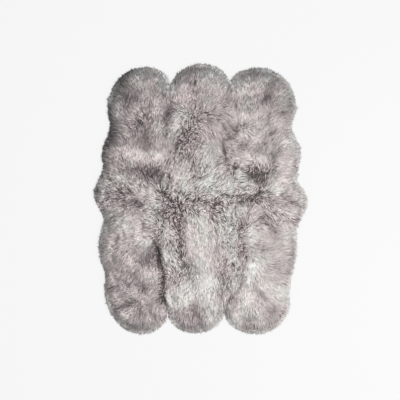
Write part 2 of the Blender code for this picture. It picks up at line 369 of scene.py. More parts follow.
# Brush strokes: where a brush passed over the wool, and the way it went (degrees from +X, anticlockwise)
strokes = (
    # upper left
    (-580, 780, 150), (-595, 640, 170), (-600, 485, 190), (-560, 595, 115), (-465, 595, 50), (-410, 525, 150),
    (-340, 760, 92), (-275, 710, 62), (-285, 485, 57), (-360, 460, 100), (-510, 465, 178), (-615, 395, 200),
    (-615, 300, 172), (-480, 315, 90), (-305, 285, 105), (-340, 200, 80), (-600, 145, 160), (-665, 50, 181),
    (-520, 75, 155), (-430, 100, 148), (-355, 80, 135), (-335, 15, 176),
    # upper middle
    (-150, 760, 98), (-170, 825, 120), (-95, 685, 95), (-150, 540, 235), (-190, 430, 250), (-35, 780, 90),
    (50, 815, 72), (80, 675, 50), (165, 555, -55), (25, 500, -50), (170, 445, -55), (90, 395, -60),
    (-155, 285, 60), (-95, 60, 40), (-185, 60, 50), (55, 245, 60), (145, 300, -60), (100, 150, 50),
    (185, 130, -10), (50, 75, 15),
    # upper right
    (275, 785, 112), (395, 845, 90), (490, 825, 68), (585, 730, 25), (615, 620, 0), (585, 525, -5),
    (340, 675, 90), (315, 585, 88), (265, 635, 92), (380, 540, 80), (330, 450, -60), (425, 470, 60),
    (510, 465, 45), (585, 395, 18), (460, 725, 60), (280, 245, -30), (390, 185, 90), (565, 230, -20),
    (520, 75, 0), (635, 35, 20), (275, 80, 5),
    # lower left
    (-640, -50, 207), (-335, -60, 203), (-535, -50, 205), (-505, -200, 180), (-370, -155, 150),
    (-295, -170, 140), (-600, -255, 190), (-510, -255, 160), (-375, -275, 200), (-580, -350, 184),
    (-480, -430, 240), (-340, -390, -45), (-350, -525, 230), (-305, -630, 240), (-490, -690, 150),
    (-505, -800, 225), (-405, -815, 270), (-305, -785, 300), (-630, -610, 195),
    # lower middle
    (-205, -190, -42), (-70, -130, -62), (-190, -405, -60), (-110, -690, 240), (-20, -350, -84),
    (-55, -825, 255), (110, -55, -50), (40, -135, -60), (40, -280, -85), (70, -430, 265), (155, -565, 250),
    (75, -630, 262), (100, -730, 280),
    # lower right
    (370, -125, 60), (280, -80, 130), (460, -70, -40), (595, -115, -8), (670, -75, -20), (445, -185, -50),
    (595, -25, 0), (185, -430, 240), (245, -805, -65), (245, -595, -80), (350, -280, 20), (330, -485, 240),
    (380, -465, -42), (500, -410, 20), (485, -490, 0), (555, -560, -10), (510, -630, -26), (450, -695, -42),
    (410, -815, -60), (340, -845, -85), (585, -300, 28), (585, -730, -22), (510, -280, 60),
)

# Partings: the wool falls away from a line, which is sunk, and darkened there with painted shade
Parting = namedtuple("Parting", "width dark deep points")
partings = (
    Parting(15, 0.50, 9, ((-285, -330), (-272, -417), (-250, -510), (-246, -580), (-253, -663), (-225, -717),
                          (-212, -790))),
)

# Patches: a place that is darker or paler than the wool round it, and how far the wool parts there
# Their tone is partly the wool's own and partly painted: painted shade in the dark patches, where the wool
# also opens, painted sheen in the pale ones, and painted light and shade along the rims
Patch = namedtuple("Patch", "x y long wide turn tone open", defaults=(0,))
patches = [Patch(*row) for row in (
    # upper left
    (-480, 860, 110, 40, 25, -0.38), (-560, 745, 90, 60, 58, -0.22), (-595, 750, 60, 30, 55, 0.34),
    (-655, 695, 60, 34, 85, 0.74), (-500, 690, 32, 30, 0, -0.38), (-440, 690, 40, 16, 130, -0.28),
    (-500, 615, 34, 30, 80, -0.22), (-612, 640, 60, 18, 85, -0.22), (-600, 480, 70, 40, 90, -0.42),
    (-580, 530, 50, 30, 0, -0.25), (-610, 400, 60, 45, 45, -0.38), (-665, 280, 90, 20, 85, -0.50),
    (-370, 440, 90, 70, 80, -0.37), (-350, 380, 50, 40, 0, -0.18), (-420, 540, 26, 12, 150, -0.40, 0.4),
    (-395, 530, 26, 12, 150, -0.40, 0.4), (-440, 505, 30, 14, 160, -0.30, 0.3),
    (-355, 565, 24, 14, 70, -0.35, 0.3), (-378, 352, 22, 12, 135, -0.45, 0.3), (-250, 720, 40, 26, 90, -0.30),
    (-205, 600, 60, 30, 80, -0.25), (-300, 740, 40, 20, 60, -0.12), (-490, 205, 70, 36, 0, -0.30),
    (-380, 215, 70, 40, 170, -0.45, 0.3), (-300, 190, 70, 45, 160, -0.42, 0.3), (-330, 150, 60, 30, 0, -0.25),
    (-260, 200, 40, 40, 0, -0.30, 0.1), (-590, 245, 50, 14, 10, -0.25), (-640, 155, 60, 14, 160, -0.30, 0.2),
    (-560, 160, 60, 40, 150, 0.16), (-550, 75, 24, 10, 155, -0.45, 0.4), (-495, 80, 28, 12, 145, -0.50, 0.4),
    (-480, 50, 30, 12, 150, -0.40, 0.4), (-535, 40, 22, 10, 150, -0.35, 0.3),
    (-525, -5, 16, 12, 0, -0.40, 0.4), (-600, 20, 60, 24, 10, -0.18), (-420, -40, 60, 36, 160, -0.38, 0.2),
    (-500, -20, 80, 26, 0, -0.22), (-270, 65, 34, 16, 10, -0.50, 0.5), (-240, 40, 40, 24, 140, -0.30, 0.4),
    (-430, 700, 130, 70, 0, -0.24), (-640, 560, 110, 24, 80, -0.25), (-665, 300, 120, 24, 85, -0.25),
    (-430, 630, 70, 26, 50, 0.28), (-295, 640, 60, 34, 80, 0.32), (-450, 340, 110, 50, 0, 0.36),
    (-290, 310, 50, 40, 0, 0.45), (-400, 290, 60, 30, 0, 0.25), (-480, 120, 120, 34, 160, 0.26),
    (-600, 330, 40, 40, 0, 0.12), (-350, 40, 90, 40, 170, 0.44), (-300, -20, 70, 24, 10, 0.36),
    (-300, 455, 60, 30, 60, 0.14), (-680, 110, 60, 40, 60, 0.32), (-690, 20, 60, 30, 90, 0.16),
    (-520, 850, 50, 34, 35, -0.20), (-520, 775, 80, 50, 50, -0.28), (-622, 685, 60, 24, 85, 0.66),
    (-512, 390, 60, 50, 0, -0.14), (-662, 150, 60, 24, 90, 0.14), (-694, 350, 120, 12, 93, -0.30),
    (-716, -40, 70, 12, 90, -0.30),
    # lower left
    (-305, -345, 80, 44, 75, -0.56, 0.2), (-350, -430, 70, 50, 120, -0.35), (-400, -420, 50, 30, 135, -0.25),
    (-440, -510, 60, 50, 90, -0.30), (-390, -610, 50, 30, 80, -0.40), (-460, -570, 40, 30, 0, -0.22),
    (-500, -712, 50, 20, 10, -0.50, 0.4), (-545, -742, 36, 22, 30, -0.42, 0.1),
    (-620, -770, 40, 30, 60, 0.20), (-440, -690, 50, 16, 150, -0.28, 0.2), (-430, -790, 60, 60, 0, -0.35),
    (-430, -872, 50, 16, 0, -0.30), (-400, -840, 80, 30, 0, -0.14), (-310, -795, 50, 16, 140, -0.30, 0.1),
    (-280, -690, 50, 50, 0, -0.18), (-512, -215, 70, 60, 0, 0.24), (-660, -340, 90, 16, 88, -0.45),
    (-690, -300, 60, 16, 85, -0.20), (-650, -480, 50, 14, 80, -0.25), (-640, -640, 60, 20, 100, -0.20),
    (-560, -490, 50, 34, 0, -0.20), (-660, -260, 120, 24, 90, 0.16), (-640, -690, 90, 40, 90, 0.26),
    (-580, -600, 40, 20, 45, -0.22), (-480, -350, 60, 30, 0, -0.12), (-340, -75, 30, 10, 0, -0.25),
    (-390, -185, 50, 16, 150, -0.15), (-260, -90, 60, 24, 20, -0.30, 0.1), (-600, -140, 60, 12, 15, -0.15),
    (-500, -265, 30, 12, 160, -0.20), (-650, -220, 30, 14, 70, -0.30), (-400, -260, 60, 50, 0, 0.45),
    (-380, -310, 40, 30, 0, 0.30), (-345, -525, 44, 50, 120, 0.42), (-480, -430, 40, 20, 120, 0.30),
    (-420, -470, 40, 20, 120, 0.20), (-500, -790, 60, 50, 40, 0.30), (-470, -740, 40, 24, 30, 0.20),
    (-600, -680, 40, 30, 0, 0.15), (-300, -850, 60, 40, 30, 0.12), (-470, -150, 70, 50, 0, 0.20),
    (-310, -150, 80, 36, 150, 0.36), (-330, -20, 90, 36, 160, 0.22), (-240, -200, 30, 70, 20, 0.22),
    (-560, -60, 80, 30, 25, 0.10), (-370, -680, 40, 30, 60, 0.14), (-460, -640, 40, 30, 0, 0.12),
    (-655, -240, 120, 34, 90, 0.34), (-650, -430, 90, 26, 80, 0.28), (-620, -560, 80, 30, 90, 0.14),
    (-512, -75, 60, 50, 0, -0.12), (-369, -60, 60, 50, 0, 0.16), (-662, -385, 50, 50, 0, 0.10),
    (-662, -690, 50, 50, 0, 0.24), (-512, -690, 60, 60, 0, -0.14), (-662, -385, 40, 50, 0, 0.10),
    (-512, -533, 50, 60, 0, 0.12), (-512, -840, 60, 40, 0, 0.12), (-370, -580, 50, 110, 0, -0.14),
    # upper middle
    (-90, 860, 90, 50, 50, -0.30), (-150, 790, 60, 30, 55, -0.15), (-35, 800, 34, 9, 85, -0.55, 0.5),
    (0, 840, 20, 8, 90, -0.35, 0.3), (-38, 850, 20, 8, 90, -0.20, 0.1), (0, 750, 60, 20, 60, -0.14),
    (-55, 602, 10, 10, 0, -0.50, 0.2), (80, 655, 12, 10, 0, -0.35, 0.1), (-200, 740, 16, 12, 0, -0.30),
    (-150, 860, 50, 50, 0, 0.22), (140, 860, 60, 40, 0, 0.20), (230, 830, 40, 50, 0, 0.56),
    (-222, 850, 36, 50, 0, 0.70), (225, 700, 50, 60, 0, -0.18), (75, 540, 60, 60, 0, -0.14),
    (75, 390, 60, 60, 0, -0.19), (-100, 440, 70, 50, 60, -0.28, 0.4), (-60, 500, 60, 40, 50, -0.12, 0.2),
    (-20, 550, 50, 30, 60, -0.10, 0.1), (-150, 380, 50, 30, 60, -0.30, 0.5),
    (-90, 350, 60, 60, 0, -0.15, 0.4), (-110, 310, 50, 30, 0, -0.16, 0.4), (-215, 580, 90, 26, 85, -0.25),
    (20, 470, 24, 12, 120, -0.30, 0.2), (-40, 250, 60, 30, 100, -0.22), (0, 220, 50, 34, 90, -0.25),
    (-5, 150, 60, 24, 90, -0.12), (-120, 175, 14, 8, 110, -0.40, 0.2), (-210, 130, 40, 18, 80, -0.28, 0.2),
    (-20, 90, 22, 12, 0, -0.50, 0.5), (-45, 55, 40, 16, 20, -0.42, 0.5), (-130, 55, 24, 10, 0, -0.30, 0.3),
    (-110, 260, 80, 40, 0, -0.06, 0.2), (170, 480, 40, 12, 120, -0.35, 0.4),
    (200, 400, 20, 14, 0, -0.50, 0.4), (165, 390, 24, 12, 80, -0.50, 0.4), (165, 330, 50, 26, 95, -0.45, 0.3),
    (185, 250, 60, 26, 100, -0.45, 0.3), (200, 730, 70, 24, 85, -0.25), (150, 560, 60, 24, 60, -0.20, 0.2),
    (0, 560, 80, 40, 0, -0.10), (40, 520, 60, 40, 0, -0.12), (-75, 530, 60, 60, 0, 0.58),
    (-75, 232, 60, 60, 0, 0.42), (-225, 470, 110, 30, 90, -0.14), (-110, 640, 70, 36, 60, 0.25),
    (-150, 550, 60, 30, 60, 0.30), (-180, 470, 60, 30, 60, 0.28), (20, 740, 40, 40, 0, 0.08),
    (30, 370, 90, 40, 110, 0.16), (215, 470, 90, 50, 90, -0.18), (60, 270, 60, 40, 60, 0.28),
    (-150, 170, 100, 50, 0, 0.44), (-100, 120, 60, 40, 0, 0.22), (90, 150, 60, 50, 60, 0.38),
    (90, 60, 110, 40, 170, 0.38), (160, 120, 60, 34, 0, 0.30), (10, 95, 180, 50, 0, 0.14),
    (75, 85, 70, 50, 0, 0.46), (-75, 390, 50, 60, 0, 0.22), (-75, 85, 60, 50, 0, 0.24),
    (220, 85, 50, 50, 0, 0.26), (-150, 70, 50, 20, 40, 0.15),
    # along the cross seam
    (-170, -10, 50, 12, 10, -0.50, 0.5), (-210, -75, 70, 40, 0, 0.14, 0.3),
    (-210, 20, 60, 20, 160, -0.34, 0.4), (-100, -50, 60, 20, 160, -0.30, 0.4),
    (0, -30, 70, 22, 170, -0.24, 0.3), (30, 45, 110, 24, 0, 0.16), (110, -40, 60, 26, 140, -0.45, 0.5),
    (150, -90, 70, 40, 130, -0.35, 0.4), (90, -100, 24, 16, 100, -0.42, 0.4),
    (105, 0, 30, 12, 160, -0.35, 0.4), (240, 30, 70, 14, 0, -0.50, 0.4), (280, -15, 26, 12, 20, -0.50, 0.5),
    (350, 0, 60, 24, 160, -0.42, 0.4), (400, 20, 60, 16, 170, -0.35, 0.3), (480, -20, 100, 24, 170, -0.25),
    # lower middle
    (-165, -130, 80, 34, 0, -0.76, 0.1), (-72, -190, 110, 20, 90, 0.34), (-40, -110, 50, 40, 0, 0.16),
    (-61, -82, 40, 30, 0, 0.22), (-300, -60, 40, 24, 160, 0.16), (-80, -55, 40, 20, 0, 0.15),
    (-142, -185, 60, 34, 90, -0.55, 0.3), (-190, -200, 36, 16, 150, -0.30, 0.4),
    (-132, -270, 90, 26, 88, -0.52, 0.2), (-190, -260, 50, 20, 90, -0.10, 0.3),
    (-120, -340, 50, 22, 80, -0.42, 0.4), (-130, -405, 20, 14, 120, -0.60, 0.5),
    (-108, -455, 24, 12, 120, -0.60, 0.5), (-70, -450, 70, 50, 110, -0.32, 0.3),
    (-60, -520, 70, 40, 0, -0.22, 0.2), (-160, -520, 60, 40, 130, -0.20, 0.2),
    (-210, -560, 50, 10, 80, -0.25, 0.3), (130, -340, 50, 34, 80, -0.22), (110, -130, 50, 10, 90, -0.35, 0.1),
    (110, -200, 14, 10, 0, -0.30, 0.3), (155, -560, 80, 26, 85, -0.42, 0.1),
    (180, -420, 40, 16, 80, -0.25, 0.1), (140, -640, 40, 20, 90, -0.25), (-40, -710, 50, 40, 70, -0.22),
    (-30, -780, 60, 60, 80, -0.45, 0.1), (-150, -790, 70, 30, 10, -0.30, 0.1), (20, -840, 60, 40, 160, -0.38),
    (-90, -870, 60, 26, 0, -0.28), (115, -700, 30, 20, 0, -0.15), (80, -850, 70, 50, 0, 0.30),
    (-200, -830, 40, 60, 0, 0.22), (225, -830, 50, 60, 0, 0.30), (-75, -225, 60, 60, 0, -0.10),
    (-218, -690, 30, 60, 0, 0.12), (-219, -235, 50, 60, 0, 0.70), (-219, -380, 40, 60, 0, 0.18),
    (-219, -690, 40, 60, 0, 0.38), (-200, -850, 40, 40, 0, 0.54), (-230, 190, 40, 40, 0, 0.10),
    (-75, -533, 60, 60, 0, 0.14), (-75, -690, 60, 60, 0, 0.14), (75, -533, 60, 60, 0, -0.18),
    (75, -690, 60, 60, 0, 0.14), (-20, -180, 110, 80, 90, 0.20), (-10, -330, 120, 60, 90, 0.24),
    (60, -270, 120, 40, 90, 0.10), (40, -600, 80, 60, 100, 0.42), (-130, -640, 80, 60, 70, 0.54),
    (-120, -700, 60, 50, 50, 0.30), (90, -580, 50, 36, 0, 0.20), (30, -440, 60, 40, 0, 0.14),
    (200, -440, 40, 16, 60, 0.40), (-190, -420, 90, 24, 120, 0.18), (110, -800, 50, 40, 45, 0.12),
    # upper right
    (470, 740, 80, 40, 75, -0.42), (440, 680, 40, 22, 50, -0.42), (520, 790, 50, 50, 0, -0.15),
    (250, 840, 60, 40, 30, -0.20), (375, 850, 60, 44, 0, -0.40), (515, 845, 60, 50, 0, -0.20),
    (645, 690, 40, 80, 0, -0.26), (380, 700, 60, 60, 0, -0.12), (520, 690, 60, 60, 0, -0.10),
    (500, 190, 70, 60, 0, -0.16), (655, 235, 50, 60, 0, -0.14), (655, -80, 50, 50, 0, -0.08),
    (375, 380, 60, 60, 0, -0.10), (560, 540, 110, 60, 0, -0.12), (250, 640, 60, 10, 88, -0.44, 0.1),
    (300, 670, 40, 24, 100, -0.22), (340, 630, 30, 30, 0, -0.12), (470, 550, 44, 18, 88, -0.42),
    (565, 580, 40, 22, 20, -0.25), (580, 600, 140, 100, 90, -0.20), (420, 480, 30, 12, 60, -0.30),
    (500, 460, 40, 22, 40, -0.42), (545, 430, 26, 14, 60, -0.20), (250, 470, 50, 18, 75, -0.50, 0.2),
    (290, 360, 50, 36, 30, -0.38), (430, 380, 60, 26, 60, -0.22), (505, 390, 40, 12, 90, -0.25),
    (540, 320, 60, 40, 30, -0.40), (510, 270, 40, 14, 120, -0.42), (400, 320, 40, 20, 0, -0.25),
    (368, 178, 70, 56, 120, -0.66, 0.5), (370, 80, 60, 50, 0, -0.12), (420, 140, 60, 50, 0, -0.36, 0.2),
    (450, 210, 40, 30, 0, -0.25, 0.3), (250, 290, 40, 30, 0, -0.20), (250, 215, 50, 14, 10, -0.22),
    (440, 55, 60, 12, 15, -0.35, 0.2), (590, 10, 60, 30, 150, -0.30), (640, -15, 26, 10, 0, -0.42, 0.1),
    (600, 70, 40, 16, 60, -0.15), (560, 170, 40, 16, 0, -0.12), (270, 740, 60, 30, 0, 0.14),
    (290, 580, 60, 40, 100, 0.25), (350, 450, 70, 24, 120, 0.36), (250, 560, 50, 24, 100, 0.15),
    (520, 550, 50, 30, 0, 0.25), (580, 500, 60, 30, 0, 0.15), (610, 370, 60, 40, 100, 0.22),
    (560, 250, 80, 20, 110, 0.28), (310, 290, 50, 40, 0, 0.24), (420, 290, 40, 26, 70, 0.30),
    (510, 70, 60, 24, 170, 0.42), (540, 130, 60, 40, 0, 0.20), (310, 130, 70, 50, 0, 0.22),
    (260, 170, 40, 26, 0, 0.20),
    # lower right
    (270, -190, 50, 22, 65, -0.40, 0.2), (290, -250, 50, 30, 90, -0.18, 0.1),
    (480, -170, 80, 36, 120, -0.32, 0.2), (430, -130, 40, 24, 0, -0.30, 0.2),
    (300, -340, 60, 22, 90, -0.34, 0.1), (310, -430, 50, 20, 80, -0.45, 0.1),
    (255, -390, 24, 12, 70, -0.55, 0.3), (250, -470, 50, 30, 0, -0.25), (430, -330, 80, 40, 0, -0.20, 0.1),
    (400, -290, 60, 40, 0, -0.15), (530, -460, 70, 34, 20, -0.32), (630, -370, 90, 20, 88, -0.42),
    (610, -470, 50, 18, 80, -0.20), (410, -640, 80, 24, 130, -0.38), (480, -790, 60, 30, 60, -0.42),
    (500, -750, 40, 30, 0, -0.25), (440, -830, 40, 40, 0, -0.10), (330, -830, 60, 40, 90, -0.38),
    (390, -700, 40, 26, 60, -0.20), (210, -680, 40, 26, 50, -0.50, 0.1), (280, -580, 40, 20, 90, -0.35, 0.1),
    (240, -730, 80, 24, 60, -0.25), (400, -550, 60, 30, 0, -0.15), (590, -150, 70, 9, 0, -0.30),
    (530, -125, 30, 9, 130, -0.25), (660, -130, 50, 26, 60, -0.35), (650, -40, 60, 20, 0, -0.20),
    (180, -740, 40, 10, 70, -0.35), (280, -110, 30, 14, 120, -0.25, 0.1), (350, -240, 60, 36, 80, 0.42),
    (360, -130, 60, 30, 60, 0.15), (350, -460, 60, 40, 110, 0.36), (330, -560, 60, 30, 80, 0.42),
    (430, -580, 60, 30, 0, 0.25), (350, -690, 80, 60, 0, 0.32), (320, -640, 40, 30, 0, 0.20),
    (440, -510, 50, 30, 0, 0.20), (580, -640, 60, 50, 0, 0.14), (655, -690, 50, 70, 0, -0.14),
    (600, -230, 60, 30, 45, 0.14), (505, -80, 80, 40, 0, -0.16), (512, -230, 80, 60, 0, -0.16),
    (460, -870, 60, 30, 0, 0.10), (260, -800, 50, 50, 0, 0.12), (250, -60, 40, 30, 0, 0.20),
    (610, -100, 60, 20, 0, 0.14), (225, -130, 60, 50, 90, 0.36), (215, -245, 60, 50, 90, 0.70),
    (225, -380, 60, 44, 90, 0.60), (369, -75, 50, 50, 0, 0.14), (512, -540, 60, 60, 0, -0.14),
    (369, -680, 50, 50, 0, -0.10), (655, -230, 50, 60, 90, 0.10), (220, -850, 50, 40, 0, 0.32),
    (512, -233, 50, 60, 0, -0.10), (512, -385, 60, 60, 0, -0.12),
)]

# Hazes: a place where the wool is greyer (more) or more mauve (less)
Haze = namedtuple("Haze", "x y long wide turn tint")
hazes = (
    Haze(-620, 600, 320, 90, 80, 0.50),
    Haze(-500, 830, 190, 130, 35, 0.45),
    Haze(-330, 850, 120, 80, 0, 0.20),
    Haze(620, 620, 300, 60, 95, 0.30),
    Haze(450, 860, 200, 60, 165, 0.30),
    Haze(-660, 130, 150, 60, 90, 0.15),
    Haze(-360, 420, 150, 110, 70, -0.30),
    Haze(130, 560, 150, 150, 0, -0.35),
    Haze(-510, -560, 210, 190, 90, -0.40),
    Haze(-330, -760, 130, 80, 120, -0.30),
    Haze(30, 130, 260, 110, 0, 0.14),
    Haze(40, -350, 260, 90, 88, 0.18),
    Haze(420, -540, 170, 120, 60, 0.12),
    Haze(590, -660, 170, 60, 90, 0.30),
    Haze(-650, -190, 100, 40, 90, 0.25),
)

# Ruffles: a place where the wool stands in pointed tufts
Ruffle = namedtuple("Ruffle", "x y long wide turn shag")
ruffles = (
    Ruffle(0, -7, 340, 170, 0, 0.70),
    Ruffle(-546, 75, 150, 80, 0, 0.40),
    Ruffle(-191, -348, 300, 95, 90, 0.55),
    Ruffle(205, -348, 300, 95, 90, 0.42),
    Ruffle(-82, 403, 205, 82, 90, 0.45),
    Ruffle(-369, 540, 70, 60, 0, 0.35),
    Ruffle(-40, 800, 60, 40, 90, 0.30),
    Ruffle(-218, -830, 60, 60, 0, 0.30),
    Ruffle(600, -130, 120, 110, 0, 0.25),
    Ruffle(232, 160, 200, 120, 0, 0.30),
    Ruffle(-660, -80, 280, 60, 90, 0.40),
    Ruffle(430, 800, 260, 170, 160, -0.40),
    Ruffle(-370, 850, 220, 120, 15, -0.35),
    Ruffle(80, 840, 150, 110, 0, -0.25),
    Ruffle(600, 560, 200, 120, 90, -0.25),
    Ruffle(540, -640, 330, 140, 110, -0.25),
    Ruffle(300, -860, 240, 90, 0, -0.25),
    Ruffle(600, -330, 200, 90, 90, -0.20),
    Ruffle(-500, -230, 140, 90, 0, -0.25),
    Ruffle(-520, -700, 160, 120, 0, -0.15),
    Ruffle(160, 85, 150, 60, 0, -0.20),
    Ruffle(340, -230, 120, 80, 90, -0.20),
)

noiseGain = 1.6  # spreads the noise over -1..1


def fractal(points, size, shift):  # smooth noise over the plan
    return np.array([noise.noise(Vector((x / size, y / size, shift))) for x, y in points]) * noiseGain


def noisy(points, pelt, form):
    size, strength, shift = form
    return strength * fractal(points, size, pelt.shift + shift)


def bell(distance, width):
    return np.exp(-np.square(distance / width))


def smoothStep(x):
    x = np.clip(x, 0, 1)
    return x * x * (3 - 2 * x)


def unit(ways):
    return ways / np.maximum(np.linalg.norm(ways, axis=1), 1e-9)[:, None]


def turned(ways, angles):
    c, s = np.cos(angles), np.sin(angles)
    return np.stack([ways[:, 0] * c - ways[:, 1] * s, ways[:, 0] * s + ways[:, 1] * c], axis=1)


def heading(degrees):
    return np.array((math.cos(math.radians(degrees)), math.sin(math.radians(degrees))))


def within(points, place):  # 1 at the middle of a patch, falling off over its length and width
    gap = points / mm - np.array((place.x, place.y))
    along = gap @ heading(place.turn) / place.long
    wide = gap @ heading(place.turn + 90) / place.wide
    return np.exp(-np.square(along) - np.square(wide))


def farFrom(points, x, y):
    return np.hypot(points[:, 0] - x * mm, points[:, 1] - y * mm)


def toLine(points, line):  # distance from each point to a bent line, and the way from the line to the point
    best = np.full(len(points), np.inf)
    away = np.zeros((len(points), 2))
    corners = np.array(line) * mm
    for a, b in zip(corners[:-1], corners[1:]):
        share = np.clip((points - a) @ (b - a) / ((b - a) @ (b - a)), 0, 1)
        gap = points - (a + share[:, None] * (b - a))
        far = np.hypot(gap[:, 0], gap[:, 1])
        nearer = far < best
        best[nearer] = far[nearer]
        away[nearer] = gap[nearer] / np.maximum(far[nearer], 1e-6)[:, None]
    return best, away


def toSeam(points):
    return np.array([seamTree.find(inPlan(p))[2] for p in points])


def toRim(points):  # distance from each point to the free rim, and the way out there
    found = [freeTree.find(inPlan(p)) for p in points]
    return np.array([f[2] for f in found]), np.array([rimWays[f[1]][:] for f in found])


def crownHeight(x, y):  # or nothing, off the rug
    hit = surface.ray_cast(Vector((x, y, 1)), -up)[0]
    return None if hit is None else hit.z


def pileHeight(point):  # height of the wool's surface over a place, on the rug or a little beyond it
    here = crownHeight(*point)
    if here is not None:
        for way in bridges:  # the wool closes over the grooves between pelts
            ends = [crownHeight(point[0] + side * way[0], point[1] + side * way[1]) for side in (-1, 1)]
            if None not in ends:
                here = max(here, sum(ends) / 2 - pileForm["bridgeSag"])
        return here
    near = surface.find_nearest(Vector((point[0], point[1], pileForm["middle"])))[0]
    beyond = math.hypot(point[0] - near.x, point[1] - near.y)
    return near.z * max(0.0, 1 - beyond / pileForm["fringe"]) ** pileForm["fringeShape"]


def acrossPelt(form, points):  # -1 at a pelt's left side, 0 on its spine, 1 at its right side
    heights = [v.co.y for v in form.verts if v.is_boundary]
    levels = np.linspace(min(heights), max(heights), crownForm["levels"])[1:-1]
    edges = [tuple(v.co for v in e.verts) for e in form.edges if e.is_boundary]
    spans = []
    for level in levels:
        crossed = [(a, b) for a, b in edges if (a.y - level) * (b.y - level) < 0]
        cuts = [a.x + (b.x - a.x) * (level - a.y) / (b.y - a.y) for a, b in crossed]
        spans.append((min(cuts), max(cuts)))
    left, right = (np.interp(points[:, 1], levels, ends) for ends in zip(*spans))
    wide = np.maximum(right - left, crownForm["narrowest"])
    return np.clip((2 * points[:, 0] - left - right) / wide, -1, 1)


def combWays(pelt, fan, points, inside, out, seam, stir):  # the way the wool lies, and how firmly
    ways = unit(np.column_stack([fan, np.full(len(points), float(pelt.row))]))
    ways = ways * (woolForm["fallback"] * (1 - seam))[:, None]
    for x, y, turn in strokes:
        ways = ways + bell(farFrom(points, x, y), woolForm["brush"])[:, None] * heading(turn)
    firm = np.clip(np.linalg.norm(ways, axis=1) / woolForm["settled"], woolForm["leastReach"], 1)
    ways = unit(ways)
    for swirl in woolForm["swirls"]:
        ways = turned(ways, noisy(points, pelt, swirl))
    muddle = np.column_stack([fractal(points, size, shift) for size, shift in woolForm["muddle"]])
    ways = unit(ways * (1 - stir)[:, None] + muddle * stir[:, None])
    for parting in partings:
        distance, away = toLine(points, parting.points)
        pull = woolForm["partingPull"] * bell(distance, parting.width * mm * woolForm["partingReach"])
        ways = unit(ways + pull[:, None] * away)
    turnOut = smoothStep(1 - inside / woolForm["edgeWidth"])
    ways = unit(ways * (1 - turnOut)[:, None] + out * (woolForm["edgePull"] * turnOut)[:, None])
    return ways, firm


def patched(seen):  # what the patches do to the wool seen at each point: its tone, opening and fullness
    tone, open, full = np.zeros((3, len(seen)))
    for patch in patches:
        near = within(seen, patch)
        tone += woolForm["patches"] * patch.tone * near
        open += patch.open * near
        full += max(0, patch.tone) * near
    return tone, np.clip(open, 0, woolForm["mostOpen"]), full


def partedAt(points):  # how much painted shade and how deep the partings are at each point
    dark, deep = np.zeros((2, len(points)))
    for parting in partings:
        near = bell(toLine(points, parting.points)[0], parting.width * mm)
        dark += parting.dark * near
        deep += parting.deep * mm * near
    return dark, deep


# Painted light at the free rim: a paler band, more at the top, less the painted shade lines along the rims
# that face left and up
def paintedRimLight(pelt, inside, out):
    change = woolForm["paintedRimLight"] + woolForm["paintedRimLightAlong"] * out[:, 1]
    # painted shade: darker lines along the rims that face left and up
    line = pelt.leftLine * np.clip(-out[:, 0], 0, 1) * np.clip(1 + woolForm["paintedShadeFade"] * out[:, 1], 0, 1)
    line += woolForm["paintedTopShade"] * np.clip(out[:, 1], 0, 1)
    change = change * bell(inside, woolForm["paintedRimLightWidth"])
    return change - line * bell(np.maximum(inside, 0), woolForm["paintedShadeWidth"])


def tintOf(pelt, seen, tone, inside, out):
    tint = woolForm["tint"] + noisy(seen, pelt, woolForm["tintNoise"])
    tint += woolForm["toneTint"] * (tone - woolForm["tone"])
    rim = woolForm["rimTint"] - woolForm["rimTintAcross"] * out[:, 0]
    tint = np.minimum(tint, woolLook["silverAt"]) + rim * bell(inside, woolForm["rimTintWidth"])
    return tint + sum(haze.tint * within(seen, haze) for haze in hazes)


def combOf(name, form, points, heights):  # lean, rise and look of the wool at each root
    pelt = peltCombs[name]
    inside, out = toRim(points)
    seam = bell(toSeam(points), woolForm["seamWidth"])
    rough = np.clip(woolForm["shag"] + sum(ruffle.shag * within(points, ruffle) for ruffle in ruffles), 0, 1)
    stir = np.clip(woolForm["shagStir"] * rough + woolForm["seamStir"] * seam, 0, woolForm["mostStir"])
    ways, firm = combWays(pelt, acrossPelt(form, points) * pelt.fan, points, inside, out, seam, stir)
    reach = woolForm["reach"] * firm * (1 - woolForm["stirReach"] * stir)
    reach = reach * (1 + noisy(points, pelt, woolForm["reachNoise"]))
    spare = woolForm["overhang"] + noisy(points, pelt, woolForm["overhangNoise"])
    outward = np.maximum(np.sum(ways * out, axis=1), woolForm["leastOutward"])
    reach = np.minimum(reach, (inside + spare) / outward)

    seen = points + ways * (woolForm["seenAt"] * reach)[:, None]  # where the eye meets this root's wool
    seenInside = inside - woolForm["seenAt"] * reach * outward
    change, open, full = patched(seen)
    dark, deep = partedAt(points + ways * (woolForm["partingSeenAt"] * reach)[:, None])
    # painted light and shade go into the tone here, from the patches, the partings and the free rim
    tone = woolForm["tone"] + pelt.tone + change - dark + paintedRimLight(pelt, seenInside, out)
    tone += sum(noisy(seen, pelt, cloud) for cloud in woolForm["clouds"])
    lean = ways * (reach * (1 - woolForm["openLean"] * open))[:, None]
    tips = np.array([pileHeight(p) for p in points + lean])
    tips += woolForm["lift"] + noisy(points, pelt, woolForm["liftNoise"])
    tipsInside = inside - np.sum(lean * out, axis=1)
    tips += woolForm["brow"] * bell(tipsInside - woolForm["browAt"], woolForm["browAt"])
    tips -= woolForm["sink"] * open - woolForm["swell"] * np.minimum(full, woolForm["swellLimit"]) + deep
    shag = rough + noisy(seen, pelt, woolForm["shagNoise"]) + woolForm["openShag"] * open
    return {
        "lean": np.column_stack([lean, np.zeros(len(lean))]),
        "rise": tips - heights,
        "tone": np.clip(tone, 0, 1),
        "shag": np.clip(shag, 0, 1),
        "tint": np.clip(tintOf(pelt, seen, tone, inside, out), 0, 1),
    }


def drawnIn(points, by, over):  # points moved back from the free rim, less and less further in
    inside, out = toRim(points)
    return points - out * (by * np.clip(1 - inside / over, 0, 1))[:, None]


